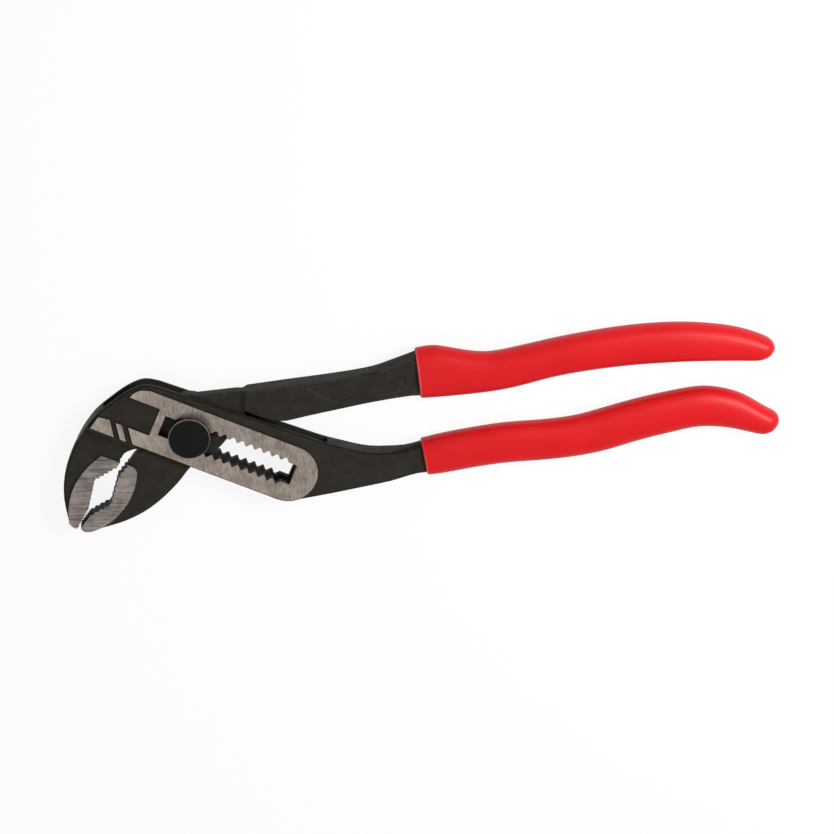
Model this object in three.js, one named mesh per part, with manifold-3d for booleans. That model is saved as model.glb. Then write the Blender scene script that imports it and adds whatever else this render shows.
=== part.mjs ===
// Water pump pliers, 250 mm long: a slotted arm and a tongue arm that meet in a box joint, a toothed
// bolt with a push button that locks the joint in the slot, and a dipped grip on each handle.
//
// Millimetres. Two plan frames share the pivot axis as origin and as Z, which points to the button:
// the handle frame has X along the handles to their ends and Y to the upper handle, and
// the slot frame has X along the slot towards the handles, SLOT_FALL degrees below the handles' X.

import * as THREE from 'three';
import { mergeVertices } from 'three/addons/utils/BufferGeometryUtils.js';
import Module from 'manifold-3d';

const wasm = await Module();
wasm.setup();

// Thicknesses, each over both faces and symmetric about the middle plane
const JOINT_THICKNESS = 10.6;
const FORGING_THICKNESS = 9.4;
const JAW_THICKNESS = 6.6;
const JAW_ROOT_THICKNESS = 5.2;
const TONGUE_THICKNESS = 5;
const TONGUE_PLAY = 0.15;

// Edges: chamfers of the forgings and the slope around a ground face
const FORGING_EDGE = 0.9;
const JAW_EDGE = 1;
const TONGUE_EDGE = 0.5;
const GROUND_EDGE = 0.35;

// Slot and its teeth, in the slot frame
const SLOT_FALL = 22;
const SLOT_START = -10.3;
const SLOT_END = 39.2;
const SLOT_HALF_WIDTH = 3.8;
const SLOT_PLAIN_END = 3;
const TOOTH_PITCH = 3.28;
const TOOTH_DEPTH = 1.3;
const TOOTH_FLAT = 0.5;

// Cheeks: ground face, forged body around it and the window between them
const CHEEK_HALF_WIDTH = 10.2;
const CHEEK_END = 37.4;
const CHEEK_FOOT = -10.9;
const WINDOW_END = 46;
const WINDOW_SILL = { outer: [-31.2, -2.4], throat: [-12.8, -11.2] };

// Sunk panel and slanted grooves that break up the front ground face at the head
const PANEL = { left: -20.6, right: -12.9, bottom: -5.1, top: 5.4 };
const GROOVE_WIDTH = 2.4;
const GROOVE_LEAN = 3.6;
const STRIP_WIDTH = 2.2;

// Jaws
const JAW_TOOTH_PITCH = 1.9;
const JAW_TOOTH_DEPTH = 0.6;
const NOSE_TOOTH_PITCH = 1.2;
const NOSE_TOOTH_DEPTH = 0.35;
const COVE_TOP = -11.2;
const COVE_FOOT = -18.8;

// Tongue
const TONGUE_RADIUS = 14.2;

// Lock: bolt, collar, button, spring and washer, all on the pivot axis
const JOURNAL_RADIUS = 3.3;
const STEM_RADIUS = 2.1;
const STEM_FLAT = 1.6;
const HUB_RADIUS = 3.2;
const LOCK_TEETH = 2;
const LOCK_PLAY = 0.2;
const LOCK_BITE = 1.25;
const FIT_GAP = 0.2;
const FACE_GAP = 0.05;
const BUTTON_RADIUS = 7.3;
const BUTTON_THICKNESS = 1.75;
const BUTTON_CHAMFER = 0.35;
const BUTTON_RIM = 0.9;
const BUTTON_ROOF = 0.8;
const BUTTON_TRAVEL = 1.4;
const WASHER_RADIUS = 6.7;
const WASHER_THICKNESS = 0.3;
const SPRING_WIRE = 0.5;
const SPRING_TURNS = 2.25;

// Handles and grips, in the handle frame
const SHOULDER_LENGTH = 3;
const ARM_LAP = 4;
const NECK_LAP = 7.2;
const CORE_THICKNESS = 7.4;
const CORE_EDGE = 2.6;
const GRIP_THICKNESS = 10.6;
const GRIP_WALL = 0.9;
const GRIP_FIT = 0.2;
const GRIP_LIP = 0.4;
const RIM_LEAD = 3;
const GRIP_SQUARENESS = 2.4;
const GRIP_TAIL = 5;
const TAIL_BLUNTNESS = 2.4;
const SEAM_INSET = 0.02;

// Recess along the upper handle's front face
const RECESS_DEPTH = 0.5;

const forging = new THREE.MeshStandardMaterial({ color: 0x33302c, roughness: 0.5, metalness: 0.6 });
const steel = new THREE.MeshStandardMaterial({ color: 0x9a938c, roughness: 0.35, metalness: 1 });
const blackCap = new THREE.MeshStandardMaterial({ color: 0x1c1c1c, roughness: 0.4, metalness: 0.4 });
const redVinyl = new THREE.MeshStandardMaterial({ color: 0xd81e22, roughness: 0.4, metalness: 0 });

const fall = THREE.MathUtils.degToRad(SLOT_FALL);
const jointFace = JOINT_THICKNESS / 2;
const forgingFace = FORGING_THICKNESS / 2;
const tongueFace = TONGUE_THICKNESS / 2;
const windowFace = tongueFace + TONGUE_PLAY;

// Solids: closed meshes joined and cut, and handed back as named meshes
function closed(positions, triangles) {
  return new wasm.Manifold(new wasm.Mesh({
    numProp: 3,
    vertProperties: Float32Array.from(positions),
    triVerts: Uint32Array.from(triangles),
  }));
}

function solid(geometry) {
  const bare = new THREE.BufferGeometry();
  bare.setAttribute('position', geometry.getAttribute('position'));
  bare.setIndex(geometry.getIndex());
  const merged = mergeVertices(bare, 1e-4);
  const found = merged.getIndex().array;
  const triangles = [];
  for (let i = 0; i < found.length; i += 3) {
    const [a, b, c] = found.slice(i, i + 3);
    if (a !== b && b !== c && c !== a) triangles.push(a, b, c);
  }
  return closed(merged.getAttribute('position').array, triangles);
}

function part(name, body, material) {
  const { vertProperties, triVerts } = body.getMesh();
  const geometry = new THREE.BufferGeometry();
  geometry.setAttribute('position', new THREE.BufferAttribute(vertProperties, 3));
  geometry.setIndex(new THREE.BufferAttribute(triVerts, 1));
  geometry.computeVertexNormals();
  const mesh = new THREE.Mesh(geometry, material);
  mesh.name = name;
  return mesh;
}

// Outlines: lists of [x, y] points, counterclockwise where they close
function smooth(points, steps = 4) {
  const curve = new THREE.SplineCurve(points.map(([x, y]) => new THREE.Vector2(x, y)));
  return curve.getPoints(steps * (points.length - 1)).map(({ x, y }) => [x, y]);
}

function arc([x, y], radius, from, to, steps) {
  return spaced(from, to, steps).map((degrees) => {
    const angle = THREE.MathUtils.degToRad(degrees);
    return [x + radius * Math.cos(angle), y + radius * Math.sin(angle)];
  });
}

function spaced(from, to, steps) {
  return Array.from({ length: steps + 1 }, (_, i) => from + ((to - from) * i) / steps);
}

// The outline without repeated points and without those on a straight line between their neighbours
function corners(outline) {
  const apart = outline.filter(([x, y], i) => {
    const [x0, y0] = outline.at(i - 1);
    return Math.hypot(x - x0, y - y0) > 1e-3;
  });
  return apart.filter(([x, y], i) => {
    const [x0, y0] = apart.at(i - 1);
    const [x1, y1] = apart[(i + 1) % apart.length];
    return Math.abs((x - x0) * (y1 - y0) - (y - y0) * (x1 - x0)) > 1e-3;
  });
}

function shapeOf(outline) {
  return new THREE.Shape(corners(outline).map(([x, y]) => new THREE.Vector2(x, y)));
}

// From the handle frame to the slot frame
function toSlot([x, y]) {
  return [x * Math.cos(fall) - y * Math.sin(fall), x * Math.sin(fall) + y * Math.cos(fall)];
}

// Serrations from one point to another, cut into the material on the left of that direction
function serrated([x0, y0], [x1, y1], pitch, depth) {
  const length = Math.hypot(x1 - x0, y1 - y0);
  const count = Math.max(1, Math.round(length / pitch));
  const along = [(x1 - x0) / length, (y1 - y0) / length];
  return Array.from({ length: 2 * count }, (_, i) => {
    const travel = (length * i) / (2 * count);
    const cut = i % 2 ? depth : 0;
    return [x0 + along[0] * travel - along[1] * cut, y0 + along[1] * travel + along[0] * cut];
  });
}

// The outline moved inwards by a distance, with mitred corners
function inward(outline, distance) {
  const normals = outline.map(([x, y], i) => {
    const [x1, y1] = outline[(i + 1) % outline.length];
    const length = Math.hypot(x1 - x, y1 - y);
    return [(y - y1) / length, (x1 - x) / length];
  });
  return outline.map(([x, y], i) => {
    const [ax, ay] = normals.at(i - 1);
    const [bx, by] = normals[i];
    const reach = distance / Math.max(0.3, 1 + ax * bx + ay * by);
    return [x + reach * (ax + bx), y + reach * (ay + by)];
  });
}

// A solid through levels of one outline, each given as [inset, z], from the bottom up
function prism(outline, levels) {
  const points = corners(outline);
  const count = points.length;
  const rings = levels.map(([inset, z]) => inward(points, inset).map(([x, y]) => [x, y, z]));
  const caps = THREE.ShapeUtils.triangulateShape(points.map(([x, y]) => new THREE.Vector2(x, y)), []);
  const top = (levels.length - 1) * count;
  const triangles = [
    ...sides(levels.length, count),
    ...caps.flatMap(([a, b, c]) => [c, b, a, top + a, top + b, top + c]),
  ];
  return closed(rings.flat(2), triangles);
}

// Triangles between rings of equal counts that follow each other
function sides(rings, count) {
  const triangles = [];
  for (let ring = 0; ring + 1 < rings; ring += 1) {
    for (let i = 0; i < count; i += 1) {
      const a = ring * count + i;
      const b = ring * count + ((i + 1) % count);
      triangles.push(a, b, b + count, a, b + count, a + count);
    }
  }
  return triangles;
}

// A plate between two heights. The outline is its widest section, and edge its rounding
function plate(outline, bottom, top, edge = 0) {
  const soft = edge * (1 - Math.SQRT1_2);
  const levels = edge > 0
    ? [[edge, bottom], [soft, bottom + soft], [0, bottom + edge],
      [0, top - edge], [soft, top - soft], [edge, top]]
    : [[0, bottom], [0, top]];
  return prism(outline, levels);
}

// A ground face standing on a forging, sloping outwards at its foot. The outline is the face
function ground(outline, foot, face) {
  const step = face - Math.sign(face) * GROUND_EDGE;
  const levels = [[-GROUND_EDGE, foot], [-GROUND_EDGE, step], [0, face]];
  return prism(outline, face > foot ? levels : levels.reverse());
}

// A round solid about the pivot axis from a profile of [radius, z] points
function turned(profile, segments = 40) {
  const points = profile.map(([radius, z]) => new THREE.Vector2(radius, z));
  const geometry = new THREE.LatheGeometry(points, segments);
  geometry.rotateX(Math.PI / 2);
  return solid(geometry);
}

// A bar through rings of [x, y, z] points with equal counts, in the order of their X
function loft(rings) {
  const count = rings[0].length;
  const last = (rings.length - 1) * count;
  const middles = rings.length * count;
  const triangles = sides(rings.length, count);
  for (let i = 0; i < count; i += 1) {
    const next = (i + 1) % count;
    triangles.push(middles, next, i, middles + 1, last + i, last + next);
  }
  return closed([rings, middle(rings[0]), middle(rings.at(-1))].flat(3), triangles);
}

function middle(ring) {
  return [0, 1, 2].map((axis) => ring.reduce((sum, point) => sum + point[axis], 0) / ring.length);
}

// Height over distance along a smooth line through a few points
function lineThrough(points) {
  const curve = smooth(points, 8);
  return (x) => {
    const found = curve.findIndex(([distance]) => distance >= x);
    const next = found < 0 ? curve.length - 1 : Math.max(1, found);
    const [x0, y0] = curve[next - 1];
    const [x1, y1] = curve[next];
    return y0 + ((y1 - y0) * (x - x0)) / (x1 - x0);
  };
}

// A ring of a bar at one station, leaning with its upper end towards the head by the given rake
function ring(x, rake, lower, upper, section) {
  const lean = Math.tan(THREE.MathUtils.degToRad(rake));
  const half = (upper(x) - lower(x)) / 2;
  const top = upper(x - lean * half);
  const bottom = lower(x + lean * half);
  const centre = (top + bottom) / 2;
  return section((top - bottom) / 2).map(([y, z]) => [x - lean * y, centre + y, z]);
}

// A rectangle with rounded corners
function barSection(halfHeight, halfThickness, edge) {
  return [[1, 1], [-1, 1], [-1, -1], [1, -1]].flatMap(([sideY, sideZ], quarter) => arc(
    [sideY * (halfHeight - edge), sideZ * (halfThickness - edge)], edge, quarter * 90, quarter * 90 + 90, 3));
}

// A rounded section between an ellipse and a rectangle
function gripSection(halfHeight, halfThickness) {
  const power = 2 / GRIP_SQUARENESS;
  return spaced(0, 2 * Math.PI, 24).slice(0, -1).map((angle) => {
    const y = Math.cos(angle);
    const z = Math.sin(angle);
    return [
      halfHeight * Math.sign(y) * Math.abs(y) ** power,
      halfThickness * Math.sign(z) * Math.abs(z) ** power,
    ];
  });
}

// Both handles: a forged bar that runs on as a core inside a dipped grip
// start and rim bound the bare bar, end is the grip's tail, and the lines are its edges seen from the front
const upperHandle = {
  start: 16.8,
  rim: 79.3,
  end: 204.5,
  startRake: -7,
  rimRake: 8,
  tailRake: -26,
  barTop: [[16.8, 15.3], [34, 17.9], [51, 20.4], [63, 23.1], [71, 26.3]],
  barBottom: [[16.8, 9.7], [19.8, 8.5], [25.4, 6.2], [30.9, 4.9], [34.5, 5.2], [40, 6.6],
    [50, 8.9], [62, 11.2]],
  gripTop: [[79.3, 30.8], [84.5, 31.8], [94, 30.1], [103, 29.1], [112, 30.7], [130, 35], [151, 38.8],
    [170, 40.3], [187, 39.3], [197.6, 36.9], [203, 34.7], [207, 32.9]],
  gripBottom: [[79.3, 12.6], [84, 12.5], [101, 14.3], [113, 16.4], [130, 21], [151, 24.3], [172, 25.9],
    [190, 26.4], [207, 26.4]],
};
const lowerHandle = {
  start: 54,
  rim: 82.4,
  end: 208,
  startRake: 0,
  rimRake: 12,
  tailRake: -22,
  barTop: [[46, -2.5], [51.5, -4.2], [57.1, -5.7], [62.8, -6.8], [68.5, -6.9], [74.5, -6]],
  barBottom: [[43, -23.6], [51.4, -21.7], [68.3, -18]],
  gripTop: [[82.4, -2.6], [88, -1.1], [99, 1.1], [111, 3], [125, 4.1], [136, 5.7], [147, 9], [158, 12.2],
    [170, 15], [181, 16.8], [191, 15.3], [197.5, 12.9], [201.5, 10.4], [204.6, 8.5], [206.4, 7.8], [209, 7]],
  gripBottom: [[82.4, -16.1], [88, -15.8], [99, -13.6], [111, -11.7], [125, -10.6], [136, -9.3], [147, -7],
    [158, -3.4], [170, -0.2], [180, 2], [191, 1.4], [200, -0.7], [209, -1.4]],
};

// The bar's own lines end where the core, set in from the grip's surface, begins
function handleLines(handle) {
  const setIn = GRIP_WALL + GRIP_FIT;
  const gripTop = lineThrough(handle.gripTop);
  const gripBottom = lineThrough(handle.gripBottom);
  const bareTop = lineThrough([...handle.barTop, [handle.rim, gripTop(handle.rim) - setIn]]);
  const bareBottom = lineThrough([...handle.barBottom, [handle.rim, gripBottom(handle.rim) + setIn]]);
  return {
    gripTop,
    gripBottom,
    barTop: (x) => (x < handle.rim ? bareTop(x) : gripTop(x) - setIn),
    barBottom: (x) => (x < handle.rim ? bareBottom(x) : gripBottom(x) + setIn),
    rake: (x) => (x < handle.rim
      ? THREE.MathUtils.mapLinear(x, handle.start, handle.rim, handle.startRake, handle.rimRake)
      : THREE.MathUtils.lerp(handle.rimRake, handle.tailRake, THREE.MathUtils.smoothstep(
        x, (handle.rim + handle.end) / 2, handle.end - GRIP_TAIL))),
    core: spaced(handle.rim, handle.end - GRIP_TAIL, 18),
  };
}

// From the forging's section to the core's, which the bar has before it reaches the rim
function coreShare(handle, x) {
  return THREE.MathUtils.smoothstep(x, (handle.start + handle.rim) / 2, handle.rim - RIM_LEAD);
}

function barHalf(handle, x) {
  return THREE.MathUtils.lerp(forgingFace, CORE_THICKNESS / 2, coreShare(handle, x));
}

function bar(handle, stations, half) {
  const lines = handleLines(handle);
  return loft(stations.map((x) => {
    const edge = THREE.MathUtils.lerp(FORGING_EDGE, CORE_EDGE, coreShare(handle, x));
    return ring(x, lines.rake(x), lines.barBottom, lines.barTop, (height) => barSection(
      height - SEAM_INSET, half(x) - SEAM_INSET, Math.min(edge, half(x) * 0.8)));
  }));
}

function grip(handle) {
  const lines = handleLines(handle);
  const half = GRIP_THICKNESS / 2;
  const tailStart = handle.end - GRIP_TAIL;
  const outerRing = (x, inset) => {
    const share = Math.max(0, (x - tailStart) / GRIP_TAIL);
    const round = (1 - Math.min(share, 0.995) ** TAIL_BLUNTNESS) ** (1 / TAIL_BLUNTNESS);
    return ring(x, lines.rake(x), lines.gripBottom, lines.gripTop, (height) => gripSection(
      (height - inset) * round, (half - inset) * round));
  };
  const lip = [[0, GRIP_LIP], [0.2, 0.35], [0.5, 0.1], [1, 0]];
  const outer = [
    ...lip.map(([step, share]) => outerRing(handle.rim + GRIP_LIP * step, share)),
    ...spaced(handle.rim + 2, tailStart, 26).map((x) => outerRing(x, 0)),
    ...[0.3, 0.55, 0.75, 0.9, 0.97, 1].map((share) => outerRing(tailStart + GRIP_TAIL * share, 0)),
  ];
  const cavity = [handle.rim - GRIP_TAIL, ...lines.core, lines.core.at(-1) + GRIP_FIT];
  const hollow = loft(cavity.map((x) => ring(
    x, lines.rake(x), lines.barBottom, lines.barTop, (height) => barSection(
      height + GRIP_FIT, CORE_THICKNESS / 2 + GRIP_FIT, CORE_EDGE + GRIP_FIT / 2))));
  return loft(outer).subtract(hollow);
}

// Slotted arm, in the slot frame: head with the fixed jaw, two cheeks and the lower handle
const headBack = [[-26.5, -46.8], [-31.2, -39.4], [-34.2, -31.2], [-35.1, -22.5], [-34.6, -14.5], [-32.7, -6],
  [-29.2, 0.9], [-25.6, 6.7], [-21.3, 10.9], [-16.2, 12.2]];
const throat = [[-18.4, -17.5], [-18.2, -15.4], [-17.1, -13.6], [-15.6, -12.2], [-13.9, -11.4], [-12.2, -11]];
const armTopJoin = [44, 14.75];

// The head runs on into the lower handle's bar by ARM_LAP
function headOutline() {
  const lines = handleLines(lowerHandle);
  const lapEnd = lowerHandle.start + ARM_LAP;
  const onBottom = (x) => toSlot([x, lines.barBottom(x)]);
  const onTop = (x) => toSlot([x, lines.barTop(x)]);
  const back = smooth(headBack, 3);
  const jawStart = back.findIndex(([, y]) => y > COVE_FOOT - JAW_EDGE);
  const armBottom = smooth([
    [CHEEK_END - 4, CHEEK_FOOT], [CHEEK_END + 0.6, CHEEK_FOOT], [CHEEK_END + 4.8, CHEEK_FOOT + 1.3],
    onBottom(lapEnd - 7.5), onBottom(lapEnd)]);
  const armTop = smooth([onTop(lapEnd), onTop(lapEnd - 5.5), armTopJoin, [34, 14.25]]);
  return [...smooth(throat, 3), ...armBottom, ...armTop, ...back.slice(jawStart).reverse()];
}

// The fixed jaw's forged root, thinner than the head
function jawRootOutline() {
  const back = smooth(headBack.slice(0, 6), 3);
  const inside = [[-25, -45], [-25.6, -38], [-26, -30], [-22, -21]];
  return [...smooth(throat, 3), [-20, -6], ...back.reverse(), ...inside];
}

// The slope from the head's forged face down to the jaw's root, cut on both faces
function cove(side) {
  const depth = forgingFace - JAW_ROOT_THICKNESS / 2;
  const run = COVE_TOP - COVE_FOOT;
  const radius = (run ** 2 + depth ** 2) / (2 * depth);
  const sweep = THREE.MathUtils.radToDeg(Math.asin(run / radius));
  const far = headBack[0][1] * 2;
  const profile = [
    ...arc([COVE_FOOT, JAW_ROOT_THICKNESS / 2 + radius], radius, -90 + sweep, -90, 8),
    [far, JAW_ROOT_THICKNESS / 2], [far, JOINT_THICKNESS], [COVE_TOP, JOINT_THICKNESS]];
  const width = 4 * CHEEK_END;
  const geometry = new THREE.ExtrudeGeometry(shapeOf(profile), { depth: width, bevelEnabled: false });
  geometry.rotateX(Math.PI / 2);
  geometry.rotateZ(Math.PI / 2);
  geometry.translate(-width, 0, 0);
  const cutter = solid(geometry);
  return side > 0 ? cutter : cutter.mirror([0, 0, 1]);
}

// Ground side of the fixed jaw, with its serrated inner edge
const upperJawOuter = [[-25.2, -18.9], [-28, -24.5], [-29.6, -31], [-29.7, -36.5], [-28.6, -41.8],
  [-26.5, -46.8]];
function upperJawOutline() {
  return [
    ...serrated([-22.9, -46.4], [-22.1, -39.4], NOSE_TOOTH_PITCH, NOSE_TOOTH_DEPTH),
    ...serrated([-22.1, -39.4], [-24, -28.5], JAW_TOOTH_PITCH, JAW_TOOTH_DEPTH),
    ...serrated([-24, -28.5], [-18.7, -21.4], JAW_TOOTH_PITCH, JAW_TOOTH_DEPTH),
    [-18.7, -21.4], [-18.3, -18.9], ...smooth(upperJawOuter), [-24.9, -47.6], [-23.3, -47.6]];
}

// Ground faces of the cheeks. The front one leaves a bare panel and is cut by two slanted grooves
const cheekCrown = [[-18.4, 10.2], [-21.5, 9.1], [-23.3, 7.4], [-24.2, PANEL.top]];
function cheekEnd() {
  return arc([CHEEK_END, 0], CHEEK_HALF_WIDTH, -90, 90, 20);
}

function frontGround() {
  const base = -CHEEK_HALF_WIDTH;
  const leaning = (x) => [[x - GROOVE_LEAN, PANEL.bottom], [x, base]];
  const strip = PANEL.left + GROOVE_LEAN - GROOVE_WIDTH;
  const patch = strip - STRIP_WIDTH - GROOVE_WIDTH;
  const faces = [
    [...leaning(PANEL.left + GROOVE_LEAN), ...cheekEnd(), ...smooth(cheekCrown), [PANEL.right, PANEL.top],
      [PANEL.right, PANEL.bottom]],
    [...leaning(strip - STRIP_WIDTH), [strip, base], [strip - GROOVE_LEAN, PANEL.bottom]],
    [[patch, base], [patch - GROOVE_LEAN, PANEL.bottom + 0.4], [-31.6, PANEL.bottom - 0.3], [-32.7, base]],
  ];
  return faces.map((outline) => ground(outline, windowFace + GROUND_EDGE, jointFace));
}

function rearGround() {
  const outline = [[-32.4, -CHEEK_HALF_WIDTH], ...cheekEnd(), ...smooth(cheekCrown), [-29.4, -3]];
  return ground(outline, -windowFace - GROUND_EDGE, -jointFace);
}

// The slot's valleys stand in whole pitches from the lock's teeth, clear of the slot's plain ends
function slotValleys() {
  const phase = (LOCK_TEETH - 1) / 2;
  const first = Math.ceil((SLOT_START + SLOT_PLAIN_END) / TOOTH_PITCH + 0.5 - phase);
  const last = Math.floor((SLOT_END - SLOT_PLAIN_END) / TOOTH_PITCH - 0.5 - phase);
  return spaced(first + phase, last + phase, last - first).map((step) => step * TOOTH_PITCH);
}

function toothedEdge(centres, base, peak, baseHalf, peakHalf) {
  return centres.flatMap((x) => [
    [x - baseHalf, base], [x - peakHalf, peak], [x + peakHalf, peak], [x + baseHalf, base]]);
}

function mirrored(edge) {
  return edge.map(([x, y]) => [x, -y]);
}

function slotOutline() {
  const edge = [
    [SLOT_START, SLOT_HALF_WIDTH],
    ...toothedEdge(slotValleys(), SLOT_HALF_WIDTH, SLOT_HALF_WIDTH + TOOTH_DEPTH,
      (TOOTH_PITCH - TOOTH_FLAT) / 2, TOOTH_FLAT / 2),
    [SLOT_END, SLOT_HALF_WIDTH]];
  return [...mirrored(edge), ...edge.reverse()];
}

function windowOutline() {
  const { outer, throat: corner } = WINDOW_SILL;
  const slope = (corner[1] - outer[1]) / (corner[0] - outer[0]);
  const clear = 3 * CHEEK_HALF_WIDTH;
  const left = outer[0] - CHEEK_HALF_WIDTH;
  const low = corner[0] + CHEEK_HALF_WIDTH / 4;
  return [
    [left, outer[1] + slope * (left - outer[0])], [low, corner[1] + slope * (low - corner[0])], [low, -clear],
    [WINDOW_END, -clear], [WINDOW_END, clear], [left, clear]];
}

function slottedArm() {
  const head = plate(headOutline(), -forgingFace, forgingFace, FORGING_EDGE)
    .subtract(cove(1))
    .subtract(cove(-1));
  const root = plate(jawRootOutline(), -JAW_ROOT_THICKNESS / 2, JAW_ROOT_THICKNESS / 2, JAW_EDGE);
  const jaw = plate(upperJawOutline(), -JAW_THICKNESS / 2, JAW_THICKNESS / 2);
  const { start, rim } = lowerHandle;
  const stations = [...spaced(start, rim - RIM_LEAD, 8), ...handleLines(lowerHandle).core];
  const handle = bar(lowerHandle, stations, (x) => barHalf(lowerHandle, x)).rotate([0, 0, SLOT_FALL]);
  const window = plate(windowOutline(), -windowFace, windowFace);
  const slot = plate(slotOutline(), -JOINT_THICKNESS, JOINT_THICKNESS);
  const body = wasm.Manifold.union([head, root, ...frontGround(), rearGround(), handle]);
  return body.subtract(window).add(jaw).subtract(slot);
}

// Tongue arm, in the slot frame: moving jaw, tongue through the window and the upper handle
const jawBelly = [[15.2, 15.6], [14.5, 9.5], [13, 2.9], [11.4, -1.9], [8.6, -6.6], [5.3, -11.4], [3.7, -17.4],
  [2, -22.4], [-0.2, -27.5], [-3.6, -33.3], [-8.2, -38.7], [-13.3, -43.1], [-17.2, -46]];
const jawBrow = [[-15.3, -18.4], [-14.9, -16], [-14.2, -13.8], [-13, -12.4], [-11.8, -11]];
function tongueOutline() {
  const lapEnd = upperHandle.start + NECK_LAP;
  const neckTop = [[2.7, 13.75], [upperHandle.start - 0.4, 15.4], [lapEnd, 15.2], [lapEnd, 8.4]].map(toSlot);
  return [
    ...arc([0, 0], TONGUE_RADIUS, 102, 218, 14), ...smooth(jawBrow, 3).reverse(),
    [-13, -22], [-12.6, -30], [-14.5, -39], [-18.6, -45.4], ...smooth(jawBelly, 3).reverse(),
    ...neckTop.reverse()];
}

const lowerJawOuter = [[-17.8, -46.6], [-14.8, -43.4], [-12.2, -38.9], [-10.4, -33], [-10, -27.7],
  [-10.4, -23.8], [-11.6, -20], [-13.4, -18.7]];
function lowerJawOutline() {
  return [
    ...serrated([-15.6, -18.7], [-17.1, -24.2], JAW_TOOTH_PITCH, JAW_TOOTH_DEPTH),
    ...serrated([-17.1, -24.2], [-15.8, -34.4], JAW_TOOTH_PITCH, JAW_TOOTH_DEPTH),
    ...serrated([-15.8, -34.4], [-20.9, -41], JAW_TOOTH_PITCH, JAW_TOOTH_DEPTH),
    ...serrated([-20.9, -41], [-22.2, -46.5], NOSE_TOOTH_PITCH, NOSE_TOOTH_DEPTH),
    [-22.2, -46.5], [-21.6, -47.4], [-20.2, -47.7], [-18.9, -47.3], ...smooth(lowerJawOuter)];
}

// Long bare recess on the upper handle's front, wider towards the grip
const recessEdge = [[41.7, 17], [53, 20.3], [66, 22.6], [72.5, 23], [75.2, 20.4], [74.6, 17.2], [71, 15.9],
  [59, 14], [50, 12.7]];
function recess() {
  const outline = smooth([...recessEdge, recessEdge[0]], 3).slice(0, -1).reverse();
  return plate(outline, 0, JOINT_THICKNESS);
}

function tongueArm() {
  const jawBody = plate(tongueOutline(), -tongueFace, tongueFace, TONGUE_EDGE);
  const jaw = plate(lowerJawOutline(), -JAW_THICKNESS / 2, JAW_THICKNESS / 2);
  const { start, rim } = upperHandle;
  const shoulder = (x) => THREE.MathUtils.lerp(
    tongueFace - TONGUE_EDGE, barHalf(upperHandle, x), Math.min(1, (x - start) / SHOULDER_LENGTH) ** 2);
  const stations = [
    ...spaced(start, start + SHOULDER_LENGTH, 4), ...spaced(start + SHOULDER_LENGTH + 2, rim - RIM_LEAD, 18),
    ...handleLines(upperHandle).core];
  const recessFloor = bar(upperHandle, stations, (x) => shoulder(x) - RECESS_DEPTH);
  const handle = bar(upperHandle, stations, shoulder)
    .subtract(recess().subtract(recessFloor))
    .rotate([0, 0, SLOT_FALL]);
  const bore = turned([[0, -JOINT_THICKNESS], [JOURNAL_RADIUS + FIT_GAP, -JOINT_THICKNESS],
    [JOURNAL_RADIUS + FIT_GAP, JOINT_THICKNESS], [0, JOINT_THICKNESS]]);
  const seatRadius = Math.hypot(lockTip()[0], lockTip()[1]) + FIT_GAP;
  const seatFloor = tongueFace - BUTTON_TRAVEL - FIT_GAP;
  const seat = turned([
    [0, seatFloor], [seatRadius, seatFloor], [seatRadius, JOINT_THICKNESS], [0, JOINT_THICKNESS]]);
  return wasm.Manifold.union([jawBody, jaw, handle]).subtract(bore).subtract(seat);
}

// Lock, in the slot frame: toothed pieces fit the slot's valleys with LOCK_PLAY all round
function lockCentres() {
  return Array.from({ length: LOCK_TEETH }, (_, i) => (i - (LOCK_TEETH - 1) / 2) * TOOTH_PITCH);
}

// Half the width of a lock tooth where it stands this far from the slot's centre line
function lockToothHalf(height) {
  const flank = (TOOTH_PITCH / 2 - TOOTH_FLAT) / TOOTH_DEPTH;
  return TOOTH_FLAT / 2 + flank * (SLOT_HALF_WIDTH + TOOTH_DEPTH - height) - LOCK_PLAY;
}

function lockTip() {
  const peak = SLOT_HALF_WIDTH + TOOTH_DEPTH - LOCK_PLAY;
  const lastTooth = lockCentres()[LOCK_TEETH - 1];
  return [lastTooth + lockToothHalf(peak), peak];
}

function lockOutline() {
  const base = SLOT_HALF_WIDTH - LOCK_PLAY;
  const peak = lockTip()[1];
  const edge = toothedEdge(lockCentres(), base, peak, lockToothHalf(base), lockToothHalf(peak));
  return [...mirrored(edge), ...edge.reverse()];
}

// The stem's two flats keep the collar in line with the bolt's head
function stem(gap, bottom, top) {
  const radius = STEM_RADIUS + gap;
  const reach = THREE.MathUtils.radToDeg(Math.asin((STEM_FLAT + gap) / radius));
  const outline = [0, 180].flatMap((turn) => arc([0, 0], radius, turn - reach, turn + reach, 8));
  return plate(outline, bottom, top);
}

const washerFoot = jointFace + FACE_GAP;
const washerTop = washerFoot + WASHER_THICKNESS;
const buttonFoot = washerTop + BUTTON_TRAVEL + FACE_GAP;
const buttonTop = buttonFoot + BUTTON_THICKNESS;
const collarFoot = windowFace + FACE_GAP;
const stemTop = buttonTop - BUTTON_ROOF + FACE_GAP - FIT_GAP;

function pivotBolt() {
  const headFoot = -jointFace + FACE_GAP;
  const head = plate(lockOutline(), headFoot, headFoot + LOCK_BITE);
  const overlap = LOCK_BITE / 2;
  const shoulder = collarFoot - FIT_GAP;
  const foot = headFoot + overlap;
  const journal = turned([[0, foot], [JOURNAL_RADIUS, foot], [JOURNAL_RADIUS, shoulder], [0, shoulder]]);
  return wasm.Manifold.union([head, journal, stem(0, shoulder - overlap, stemTop)]);
}

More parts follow.
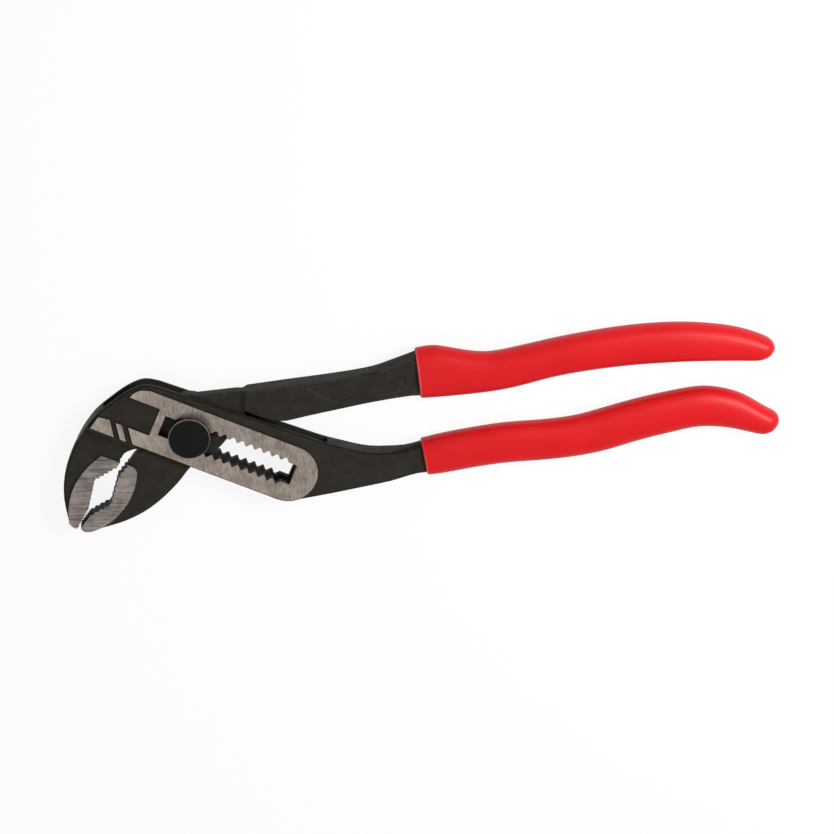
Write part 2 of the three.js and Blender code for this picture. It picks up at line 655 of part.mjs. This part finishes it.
function lockCollar() {
  const flange = plate(lockOutline(), collarFoot, collarFoot + LOCK_BITE);
  const hub = turned([[0, collarFoot + LOCK_BITE / 2], [HUB_RADIUS, collarFoot + LOCK_BITE / 2],
    [HUB_RADIUS, buttonFoot - FACE_GAP], [0, buttonFoot - FACE_GAP]]);
  return flange.add(hub).subtract(stem(FIT_GAP, 0, JOINT_THICKNESS * 2));
}

function pushButton() {
  const bossRadius = HUB_RADIUS + FIT_GAP;
  const rimInside = BUTTON_RADIUS - BUTTON_RIM;
  const roof = buttonTop - BUTTON_ROOF;
  const cap = turned([
    [0, buttonFoot], [bossRadius, buttonFoot], [bossRadius, roof], [rimInside, roof], [rimInside, buttonFoot],
    [BUTTON_RADIUS, buttonFoot], [BUTTON_RADIUS, buttonTop - BUTTON_CHAMFER],
    [BUTTON_RADIUS - BUTTON_CHAMFER, buttonTop], [0, buttonTop]], 48);
  return cap.subtract(stem(FIT_GAP, 0, stemTop + FIT_GAP));
}

function slideWasher() {
  const bore = HUB_RADIUS + FIT_GAP;
  return turned([
    [bore, washerFoot], [WASHER_RADIUS, washerFoot], [WASHER_RADIUS, washerTop], [bore, washerTop],
    [bore, washerFoot]], 48);
}

// Conical spring, wide on the washer and narrow under the button, so that its turns can nest
class SpringLine extends THREE.Curve {
  getPoint(share, target = new THREE.Vector3()) {
    const wide = WASHER_RADIUS - SPRING_WIRE;
    const narrow = HUB_RADIUS + 2 * FIT_GAP + SPRING_WIRE;
    const low = washerTop + FACE_GAP + SPRING_WIRE / 2;
    const high = buttonTop - BUTTON_ROOF - FACE_GAP - SPRING_WIRE / 2;
    const angle = 2 * Math.PI * SPRING_TURNS * share;
    const radius = THREE.MathUtils.lerp(wide, narrow, share);
    const height = THREE.MathUtils.lerp(low, high, share);
    return target.set(radius * Math.cos(angle), radius * Math.sin(angle), height);
  }
}

function returnSpring() {
  const path = new SpringLine();
  const steps = Math.round(24 * SPRING_TURNS);
  const wire = shapeOf(arc([0, 0], SPRING_WIRE / 2, 0, 300, 5));
  const points = path.getPoints(steps);
  const turn = Math.round(steps / SPRING_TURNS);
  const others = (i) => points.slice(i + turn / 2);
  const gaps = points.flatMap((point, i) => others(i).map((other) => point.distanceTo(other)));
  console.log(`return spring, least gap to itself: ${(Math.min(...gaps) - SPRING_WIRE).toFixed(2)} mm`);
  return solid(new THREE.ExtrudeGeometry(wire, { steps, extrudePath: path, bevelEnabled: false }));
}

// Assembly: slot-frame pieces hang in a group turned by the slot's fall, grips in the handle frame
const slotFrame = new THREE.Group();
slotFrame.rotation.z = -fall;
slotFrame.add(
  part('slotted_arm', slottedArm(), forging),
  part('tongue_arm', tongueArm(), forging),
  part('pivot_bolt', pivotBolt(), steel),
  part('lock_collar', lockCollar(), steel),
  part('slide_washer', slideWasher(), steel),
  part('return_spring', returnSpring(), steel),
  part('push_button', pushButton(), blackCap),
);

const pliers = new THREE.Group();
pliers.add(
  slotFrame,
  part('upper_grip', grip(upperHandle), redVinyl),
  part('lower_grip', grip(lowerHandle), redVinyl),
);

// The origin is below the middle of the whole tool, lying with its button up
pliers.updateMatrixWorld(true);
const box = new THREE.Box3().setFromObject(pliers, true);
pliers.position.set(-(box.min.x + box.max.x) / 2, -(box.min.y + box.max.y) / 2, -box.min.z);

export default pliers;
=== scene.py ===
import math

import bmesh
import bpy
from mathutils import Matrix, Vector


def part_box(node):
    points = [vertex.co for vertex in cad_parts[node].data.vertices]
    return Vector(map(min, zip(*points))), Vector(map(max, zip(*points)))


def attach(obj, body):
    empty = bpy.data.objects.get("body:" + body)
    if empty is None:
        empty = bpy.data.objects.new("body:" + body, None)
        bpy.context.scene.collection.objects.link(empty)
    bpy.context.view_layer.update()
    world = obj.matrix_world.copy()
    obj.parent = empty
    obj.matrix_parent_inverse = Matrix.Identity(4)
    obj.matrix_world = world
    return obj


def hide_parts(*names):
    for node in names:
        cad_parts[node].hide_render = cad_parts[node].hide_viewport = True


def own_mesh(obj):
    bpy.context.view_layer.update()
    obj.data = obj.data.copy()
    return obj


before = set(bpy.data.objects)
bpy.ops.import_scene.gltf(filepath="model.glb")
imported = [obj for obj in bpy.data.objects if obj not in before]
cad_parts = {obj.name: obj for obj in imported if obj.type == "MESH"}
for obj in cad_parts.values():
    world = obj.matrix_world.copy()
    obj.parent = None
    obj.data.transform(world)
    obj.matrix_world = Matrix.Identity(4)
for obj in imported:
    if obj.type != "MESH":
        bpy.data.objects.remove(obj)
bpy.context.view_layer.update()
scene = bpy.context.scene

# Slotted arm: one steel forging with the fixed jaw, the two cheeks of the box joint and the lower handle.
# It is phosphated black all over, and then its cheek faces and the sides of its jaw are ground bright. Its
# sloped edge faces are painted darker, as painted shade.
MIDDLE = 0.0053
CHEEK_FACE = 0.0053
JAW_FACE = 0.0033
FACE_MARGIN = 0.00004
BLACK = (0.0238, 0.0208, 0.0163, 1)
BLACK_PALE = (0.0325, 0.0286, 0.0238, 1)
BLACK_EDGE_SHADE = (0.006, 0.005, 0.004, 1)
CHEEK_DARK = (0.125, 0.104, 0.088, 1)
CHEEK_PALE = (0.262, 0.223, 0.192, 1)
JAW_DARK = (0.055, 0.047, 0.042, 1)
JAW_PALE = (0.215, 0.191, 0.175, 1)


def node(tree, kind, **values):
    """A new shader node. The dictionary named inputs sets its sockets, and other values its properties."""
    made = tree.nodes.new(kind)
    for name, value in values.pop("inputs", {}).items():
        made.inputs[name].default_value = value
    for name, value in values.items():
        setattr(made, name, value)
    return made


def finish_named(name, **shader):
    """A material with a plain principled shader, and the tree and shader to build on."""
    material = bpy.data.materials.new(name)
    material.use_nodes = True
    tree = material.node_tree
    principled = tree.nodes["Principled BSDF"]
    for socket, value in shader.items():
        principled.inputs[socket.replace("_", " ")].default_value = value
    return material, tree, principled


def ramp(tree, factor, stops):
    """A colour ramp on a factor, with stops given as (position, colour)."""
    made = node(tree, "ShaderNodeValToRGB")
    while len(made.color_ramp.elements) < len(stops):
        made.color_ramp.elements.new(1)
    for element, (position, colour) in zip(made.color_ramp.elements, stops):
        element.position = position
        element.color = colour
    tree.links.new(factor, made.inputs["Fac"])
    return made.outputs["Color"]


def grains(tree, scale, detail=4, roughness=0.6, stretch=(1, 1, 1), turn=0):
    """Noise in the object's own coordinates, with its grains stretched and turned about Z."""
    place = node(tree, "ShaderNodeTexCoord")
    mapping = node(tree, "ShaderNodeMapping", inputs={"Scale": stretch, "Rotation": (0, 0, turn)})
    noise = node(tree, "ShaderNodeTexNoise", inputs={
        "Scale": scale, "Detail": detail, "Roughness": roughness})
    tree.links.new(place.outputs["Object"], mapping.inputs["Vector"])
    tree.links.new(mapping.outputs["Vector"], noise.inputs["Vector"])
    return noise.outputs["Fac"]


def bumped(tree, shader, height, strength, distance):
    """Fine relief on a shader from a height."""
    bump = node(tree, "ShaderNodeBump", inputs={"Strength": strength, "Distance": distance})
    tree.links.new(height, bump.inputs["Height"])
    tree.links.new(bump.outputs["Normal"], shader.inputs["Normal"])


def black_phosphate(name, dark, pale, edges):
    """Matte black conversion coat on a forged skin: mottled and finely pitted, with an edge colour laid in
    patches on its sloped faces. That edge colour is painted shade on the slotted arm, and edge wear with a
    painted highlight on the tongue arm.
    """
    material, tree, shader = finish_named(name, Metallic=0, Specular_IOR_Level=0.03)
    mottle = grains(tree, 260, detail=5)
    coat = ramp(tree, mottle, [(0.35, dark), (0.72, pale)])
    place = node(tree, "ShaderNodeTexCoord")
    split = node(tree, "ShaderNodeSeparateXYZ")
    tree.links.new(place.outputs["Normal"], split.inputs["Vector"])
    upright = node(tree, "ShaderNodeMath", operation="ABSOLUTE")
    tree.links.new(split.outputs["Z"], upright.inputs[0])
    slope = ramp(tree, upright.outputs[0], [
        (0.12, (0, 0, 0, 1)), (0.45, (1, 1, 1, 1)), (0.86, (1, 1, 1, 1)), (0.94, (0, 0, 0, 1))])
    edge_patches = ramp(tree, grains(tree, 900, detail=3), [
        (0.38, (0.25, 0.25, 0.25, 1)), (0.65, (0.8, 0.8, 0.8, 1))])
    # Patchy mask on sloped faces for the edge colour: painted shade on one arm, wear with painted highlight
    # on the other.
    edge_wear_and_light = node(tree, "ShaderNodeMix", data_type="RGBA", blend_type="MULTIPLY", inputs={0: 1.0})
    tree.links.new(slope, edge_wear_and_light.inputs[6])
    tree.links.new(edge_patches, edge_wear_and_light.inputs[7])
    colour = node(tree, "ShaderNodeMix", data_type="RGBA")
    tree.links.new(edge_wear_and_light.outputs[2], colour.inputs[0])
    tree.links.new(coat, colour.inputs[6])
    colour.inputs[7].default_value = edges
    tree.links.new(colour.outputs[2], shader.inputs["Base Color"])
    gloss = ramp(tree, mottle, [(0.3, (0.5, 0.5, 0.5, 1)), (0.75, (0.38, 0.38, 0.38, 1))])
    tree.links.new(gloss, shader.inputs["Roughness"])
    bumped(tree, shader, grains(tree, 1600, detail=3), 0.25, 0.00006)
    return material


def ground_steel(name, dark, pale, stretch, turn):
    """Bright steel with the fine parallel scratches of a grinding belt."""
    material, tree, shader = finish_named(name, Metallic=1)
    scratches = grains(tree, 1100, detail=6, roughness=0.75, stretch=stretch, turn=turn)
    patches = grains(tree, 160, detail=3)
    blend = node(tree, "ShaderNodeMix", data_type="FLOAT", inputs={0: 0.3})
    tree.links.new(scratches, blend.inputs[2])
    tree.links.new(patches, blend.inputs[3])
    colour = ramp(tree, blend.outputs[0], [(0.4, dark), (0.6, pale)])
    tree.links.new(colour, shader.inputs["Base Color"])
    gloss = ramp(tree, scratches, [(0.3, (0.42, 0.42, 0.42, 1)), (0.7, (0.56, 0.56, 0.56, 1))])
    tree.links.new(gloss, shader.inputs["Roughness"])
    bumped(tree, shader, scratches, 0.3, 0.00003)
    return material


def copied(node_name):
    """A merged copy of a CAD node's mesh, open for shaping."""
    shape = bmesh.new()
    shape.from_mesh(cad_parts[node_name].data)
    bmesh.ops.remove_doubles(shape, verts=shape.verts, dist=1e-6)
    return shape


def flat_faced(shape):
    """Joins the triangles of each flat face."""
    bmesh.ops.dissolve_limit(
        shape, angle_limit=math.radians(0.5), verts=shape.verts[:], edges=shape.edges[:],
        use_dissolve_boundaries=False)
    return shape


def placed(shape, name, materials, body, slot, *replaced, smooth_angle=35):
    """The finished piece from a mesh, riding on its body in place of its CAD nodes."""
    mesh = bpy.data.meshes.new(name)
    shape.to_mesh(mesh)
    shape.free()
    piece = bpy.data.objects.new(name, mesh)
    scene.collection.objects.link(piece)
    for material in materials:
        mesh.materials.append(material)
    mesh.shade_smooth()
    mesh.set_sharp_from_angle(angle=math.radians(smooth_angle))
    even = piece.modifiers.new("even_normals", "WEIGHTED_NORMAL")
    even.keep_sharp = True
    even.weight = 80
    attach(piece, body)
    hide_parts(*replaced)
    return piece


def ground_faces(shape, height, index):
    """Gives the flat faces at this height above and below the middle plane another material."""
    for face in shape.faces:
        lift = abs(face.calc_center_median().z - MIDDLE)
        if abs(face.normal.z) > 0.99 and abs(lift - height) < FACE_MARGIN:
            face.material_index = index


# The slotted arm's sloped edges take a near-black edge colour: painted shade.
phosphate = black_phosphate("black_phosphate", BLACK, BLACK_PALE, BLACK_EDGE_SHADE)
cheek_ground = ground_steel("ground_cheek", CHEEK_DARK, CHEEK_PALE, (1.7, 0.4, 1.0), 0.12)
jaw_ground = ground_steel("ground_jaw", JAW_DARK, JAW_PALE, (0.08, 1.6, 1.0), -0.12)

slotted = flat_faced(copied("slotted_arm"))
ground_faces(slotted, CHEEK_FACE, 1)
ground_faces(slotted, JAW_FACE, 2)
placed(
    slotted, "slotted_arm_forging", [phosphate, cheek_ground, jaw_ground], "slotted_arm", "forging",
    "slotted_arm")

# Tongue arm: the second forging, with the moving jaw, the flat tongue that runs between the cheeks and the
# upper handle. It has the same black coat, paler on its edges from wear and a painted highlight, with a
# painted highlight on the rounded rim of the recess in its handle, and only the sides of its jaw are ground.
RECESS_DEPTH = 0.0005
RECESS_FLOOR = 0.0026
RECESS_ROUND = 0.0004
# Paler coat for the rounded rim of the recess: a painted highlight.
RECESS_RIM_HIGHLIGHT = (0.05, 0.046, 0.04, 1)
# Paler tone for sloped edges: edge wear with a painted highlight.
BLACK_EDGE_WEAR_AND_HIGHLIGHT = (0.048, 0.044, 0.039, 1)


def recess_rim(shape):
    """The upper edges of the low walls round the recess in the handle's front."""
    rim = []
    for face in shape.faces:
        heights = [corner.co.z for corner in face.verts]
        low_wall = max(heights) - min(heights) < 1.2 * RECESS_DEPTH and min(heights) > MIDDLE + RECESS_FLOOR
        if abs(face.normal.z) < 0.1 and low_wall:
            middle = sum(heights) / len(heights)
            rim += [edge for edge in face.edges if min(corner.co.z for corner in edge.verts) > middle]
    return rim


tongue = flat_faced(copied("tongue_arm"))
rounded = bmesh.ops.bevel(
    tongue, geom=recess_rim(tongue), offset=RECESS_ROUND, segments=3, profile=0.5, affect="EDGES",
    clamp_overlap=False, material=-1)
# The rounded rim of the recess gets the third, paler material: a painted highlight.
for face in rounded["faces"]:
    face.material_index = 2
ground_faces(tongue, JAW_FACE, 1)
# The tongue arm's sloped edges are paler: edge wear with a painted highlight.
worn_and_lit_phosphate = black_phosphate("worn_lit_phosphate", BLACK, BLACK_PALE, BLACK_EDGE_WEAR_AND_HIGHLIGHT)
rim_highlight_phosphate = black_phosphate("recess_rim_highlight_phosphate", BLACK_PALE, RECESS_RIM_HIGHLIGHT, BLACK_EDGE_WEAR_AND_HIGHLIGHT)
placed(tongue, "tongue_arm_forging", [worn_and_lit_phosphate, jaw_ground, rim_highlight_phosphate], "tongue_arm", "forging", "tongue_arm")

# Pivot bolt and lock collar: turned steel with two pairs of teeth each, that stand in the slot's teeth at
# the rear and the front cheek. The collar is keyed on the bolt's stem and carries the button.
TURNED = (0.32, 0.3, 0.28, 1)


def turned_steel():
    """Plain turned steel with fine tool marks, slightly oiled."""
    material, tree, shader = finish_named("turned_steel", Metallic=1, Base_Color=TURNED)
    marks = grains(tree, 1200, detail=4, stretch=(1, 1, 6))
    gloss = ramp(tree, marks, [(0.3, (0.28, 0.28, 0.28, 1)), (0.7, (0.45, 0.45, 0.45, 1))])
    tree.links.new(gloss, shader.inputs["Roughness"])
    bumped(tree, shader, marks, 0.2, 0.00002)
    return material


lock_steel = turned_steel()
placed(flat_faced(copied("pivot_bolt")), "toothed_bolt", [lock_steel], "lock", "steel", "pivot_bolt")
placed(flat_faced(copied("lock_collar")), "toothed_collar", [lock_steel], "lock", "steel", "lock_collar")

# Slide washer and return spring: a thin pressed ring that bridges the slot, and a conical coil of spring
# wire on it that pushes the button out again.
placed(
    flat_faced(copied("slide_washer")), "bridge_washer", [lock_steel], "joint_carriage", "steel",
    "slide_washer")
WIRE_RADIUS = 0.00025
COIL_TURNS = 2.25
COIL_WIDE = 0.0059
COIL_NARROW = 0.0041
COIL_STEPS = 108
COIL_START = math.radians(-22)
WIRE_SIDES = 12
coil_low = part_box("return_spring")[0].z + WIRE_RADIUS
coil_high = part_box("return_spring")[1].z - WIRE_RADIUS
pivot = (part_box("push_button")[0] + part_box("push_button")[1]) / 2


def coil_place(step):
    """Where the wire's round section stands after some steps along the conical coil."""
    share = step / COIL_STEPS
    angle = COIL_START + 2 * math.pi * COIL_TURNS * share
    radius = COIL_WIDE + (COIL_NARROW - COIL_WIDE) * share
    height = coil_low + (coil_high - coil_low) * share
    place = Matrix.Translation((pivot.x, pivot.y, height)) @ Matrix.Rotation(angle, 4, "Z")
    return place @ Matrix.Translation((radius, 0, 0)) @ Matrix.Rotation(math.radians(90), 4, "X")


coil = bmesh.new()
bmesh.ops.create_circle(coil, cap_ends=True, segments=WIRE_SIDES, radius=WIRE_RADIUS, matrix=coil_place(0))
front = coil.edges[:]
for step in range(COIL_STEPS):
    grown = bmesh.ops.extrude_edge_only(coil, edges=front)["geom"]
    ring = [part for part in grown if isinstance(part, bmesh.types.BMVert)]
    front = [part for part in grown if isinstance(part, bmesh.types.BMEdge)]
    bmesh.ops.transform(coil, matrix=coil_place(step + 1) @ coil_place(step).inverted(), verts=ring)
bmesh.ops.contextual_create(coil, geom=front)
bmesh.ops.recalc_face_normals(coil, faces=coil.faces)
spring = placed(
    coil, "conical_spring", [lock_steel], "joint_carriage", "steel", "return_spring", smooth_angle=80)
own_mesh(spring)

# Push button: a flat turned cap of blackened steel with a narrow bright chamfer round its top. It sits on
# the bolt's stem, and a thumb presses it to move the teeth out of the slot's.
BUTTON_BLACK = (0.0035, 0.0035, 0.003, 1)
BUTTON_PALE = (0.0065, 0.0065, 0.0055, 1)
EDGE_DARK = (0.06, 0.06, 0.056, 1)
EDGE_PALE = (0.2, 0.195, 0.185, 1)
CHAMFER_DEPTH = 0.0004


def bright_edge():
    """Steel laid bare on an edge that thumbs rub."""
    material, tree, shader = finish_named("rubbed_edge", Metallic=1, Roughness=0.35)
    colour = ramp(tree, grains(tree, 1500, detail=3), [(0.35, EDGE_DARK), (0.7, EDGE_PALE)])
    tree.links.new(colour, shader.inputs["Base Color"])
    return material


def button_finish():
    """Satin black oxide, finely speckled."""
    material, tree, shader = finish_named("black_oxide", Metallic=0, Specular_IOR_Level=0.06)
    speckle = grains(tree, 900, detail=4)
    colour = ramp(tree, speckle, [(0.35, BUTTON_BLACK), (0.7, BUTTON_PALE)])
    tree.links.new(colour, shader.inputs["Base Color"])
    gloss = ramp(tree, speckle, [(0.3, (0.3, 0.3, 0.3, 1)), (0.7, (0.4, 0.4, 0.4, 1))])
    tree.links.new(gloss, shader.inputs["Roughness"])
    bumped(tree, shader, speckle, 0.15, 0.00003)
    return material


cap = flat_faced(copied("push_button"))
cap_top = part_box("push_button")[1].z
for face in cap.faces:
    if 0.2 < face.normal.z < 0.95 and face.calc_center_median().z > cap_top - CHAMFER_DEPTH:
        face.material_index = 1
placed(cap, "button_cap", [button_finish(), bright_edge()], "lock", "button", "push_button", smooth_angle=30)

# Grips: soft red vinyl, dipped over the ends of both handles in one thick coat, with a rounded lip at the
# front and a rounded tail.
VINYL = (0.57, 0.004, 0.007, 1)
VINYL_PALE = (0.62, 0.006, 0.0095, 1)
# Paler pink for the grips' front lip: a painted highlight.
VINYL_RIM_HIGHLIGHT = (0.75, 0.09, 0.09, 1)
RIM_DEPTH = 0.006
SHARP = math.radians(40)


def dipped_vinyl(name, deep, pale):
    """Satin red vinyl: even colour, with the soft orange peel of a dipped skin."""
    material, tree, shader = finish_named(name, Metallic=0, Specular_IOR_Level=0.22)
    clouds = grains(tree, 60, detail=3)
    colour = ramp(tree, clouds, [(0.3, deep), (0.7, pale)])
    tree.links.new(colour, shader.inputs["Base Color"])
    gloss = ramp(tree, grains(tree, 500, detail=4), [
        (0.3, (0.38, 0.38, 0.38, 1)), (0.7, (0.45, 0.45, 0.45, 1))])
    tree.links.new(gloss, shader.inputs["Roughness"])
    bumped(tree, shader, grains(tree, 380, detail=2), 0.12, 0.00012)
    return material


vinyl = dipped_vinyl("dipped_vinyl", VINYL, VINYL_PALE)
vinyl_rim_highlight = dipped_vinyl("vinyl_rim_highlight_coat", VINYL_PALE, VINYL_RIM_HIGHLIGHT)
for node_name, piece_name, body in (
        ("upper_grip", "upper_vinyl_grip", "tongue_arm"), ("lower_grip", "lower_vinyl_grip", "slotted_arm")):
    skin = copied(node_name)
    bmesh.ops.join_triangles(
        skin, faces=skin.faces, angle_face_threshold=SHARP, angle_shape_threshold=math.radians(60))
    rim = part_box(node_name)[0].x
    # Faces of the front lip take the paler red: a painted highlight.
    for face in skin.faces:
        if face.normal.x < -0.4 and face.calc_center_median().x < rim + RIM_DEPTH:
            face.material_index = 1
    crease = skin.edges.layers.float.new("crease_edge")
    for edge in skin.edges:
        if edge.calc_face_angle(0) > SHARP:
            edge[crease] = 0.5
    grip = placed(skin, piece_name, [vinyl, vinyl_rim_highlight], body, "vinyl", node_name, smooth_angle=60)
    round_off = grip.modifiers.new("round_off", "SUBSURF")
    round_off.levels = 2
    round_off.render_levels = 2

# Floor and surround: a plain white table that the tool lies on, with a white room round it. Both are white
# where they are seen, straight or in a reflection, and the room gives soft light from all sides.
FLOOR_HALF = 1.5
FLOOR_SHADE = 0.12


def table_white():
    """White to the eye and in reflections, with a share left for the tool's shadow."""
    material, tree, shader = finish_named("white_table", Base_Color=(0.9, 0.9, 0.9, 1), Roughness=0.9)
    light_path = node(tree, "ShaderNodeLightPath")
    seen = node(tree, "ShaderNodeMath", operation="MAXIMUM")
    shown = node(tree, "ShaderNodeMath", operation="MAXIMUM")
    share = node(tree, "ShaderNodeMath", operation="MULTIPLY", inputs={1: 1 - FLOOR_SHADE})
    white = node(tree, "ShaderNodeEmission", inputs={"Color": (1, 1, 1, 1), "Strength": 1.0})
    mix = node(tree, "ShaderNodeMixShader")
    tree.links.new(light_path.outputs["Is Camera Ray"], seen.inputs[0])
    tree.links.new(light_path.outputs["Is Glossy Ray"], seen.inputs[1])
    tree.links.new(seen.outputs[0], shown.inputs[0])
    tree.links.new(light_path.outputs["Is Transmission Ray"], shown.inputs[1])
    tree.links.new(shown.outputs[0], share.inputs[0])
    tree.links.new(share.outputs[0], mix.inputs["Fac"])
    tree.links.new(shader.outputs[0], mix.inputs[1])
    tree.links.new(white.outputs[0], mix.inputs[2])
    tree.links.new(mix.outputs[0], tree.nodes["Material Output"].inputs["Surface"])
    return material


table_top = bmesh.new()
bmesh.ops.create_grid(table_top, x_segments=1, y_segments=1, size=FLOOR_HALF)
table = bpy.data.meshes.new("table")
table_top.to_mesh(table)
table_top.free()
table.materials.append(table_white())
floor = bpy.data.objects.new("table", table)
scene.collection.objects.link(floor)

world = bpy.data.worlds.new("surround")
scene.world = world
world.use_nodes = True
surround = world.node_tree
backdrop = surround.nodes["Background"]
backdrop.inputs["Color"].default_value = (1, 1, 1, 1)
paths = node(surround, "ShaderNodeLightPath")
seen_straight = node(surround, "ShaderNodeMath", operation="MAXIMUM")
seen_all = node(surround, "ShaderNodeMath", operation="MAXIMUM")
strength = node(surround, "ShaderNodeMapRange", inputs={"To Min": 0.35, "To Max": 1.0})
surround.links.new(paths.outputs["Is Camera Ray"], seen_straight.inputs[0])
surround.links.new(paths.outputs["Is Glossy Ray"], seen_straight.inputs[1])
surround.links.new(seen_straight.outputs[0], seen_all.inputs[0])
surround.links.new(paths.outputs["Is Transmission Ray"], seen_all.inputs[1])
surround.links.new(seen_all.outputs[0], strength.inputs["Value"])
surround.links.new(strength.outputs["Result"], backdrop.inputs["Strength"])


# Lamps: a soft box above the ends of the handles, to the side of the upper one, and a wider one far above
# the jaws, to the side of the lower handle.
def soft_box(name, place, aim, width, height, watts):
    """A rectangular lamp at a place, turned to a point."""
    lamp = bpy.data.lights.new(name, "AREA")
    lamp.shape = "RECTANGLE"
    lamp.size = width
    lamp.size_y = height
    lamp.energy = watts
    holder = bpy.data.objects.new(name, lamp)
    holder.location = place
    holder.rotation_euler = (Vector(aim) - Vector(place)).to_track_quat("-Z", "Y").to_euler()
    scene.collection.objects.link(holder)


soft_box("key_box", (0.34, 0.17, 0.4), (0.12, 0, 0), 0.26, 0.13, 2.6)
soft_box("fill_box", (-0.4, -0.32, 0.85), (-0.1, 0, 0), 0.36, 0.3, 1.9)

# Camera: a long lens from above, about 20 degrees off the pivot axis towards the side of the upper handle.
# The tool lies across the picture with its jaws at the left.
EYE = Vector((-0.075412, 0.302793, 0.850903))
AIM = Vector((-0.00269, 0.003349, 0.0053))
LENS = 110.72
lens = bpy.data.cameras.new("long_lens")
lens.sensor_width = 36
lens.lens = LENS
lens.clip_start = 0.01
camera = bpy.data.objects.new("long_lens", lens)
back = (EYE - AIM).normalized()
up = Vector((0, back.z, -back.y)).normalized()
camera.matrix_world = Matrix.Translation(EYE) @ Matrix((up.cross(back), up, back)).transposed().to_4x4()
scene.collection.objects.link(camera)
scene.camera = camera

scene.view_settings.view_transform = "Standard"
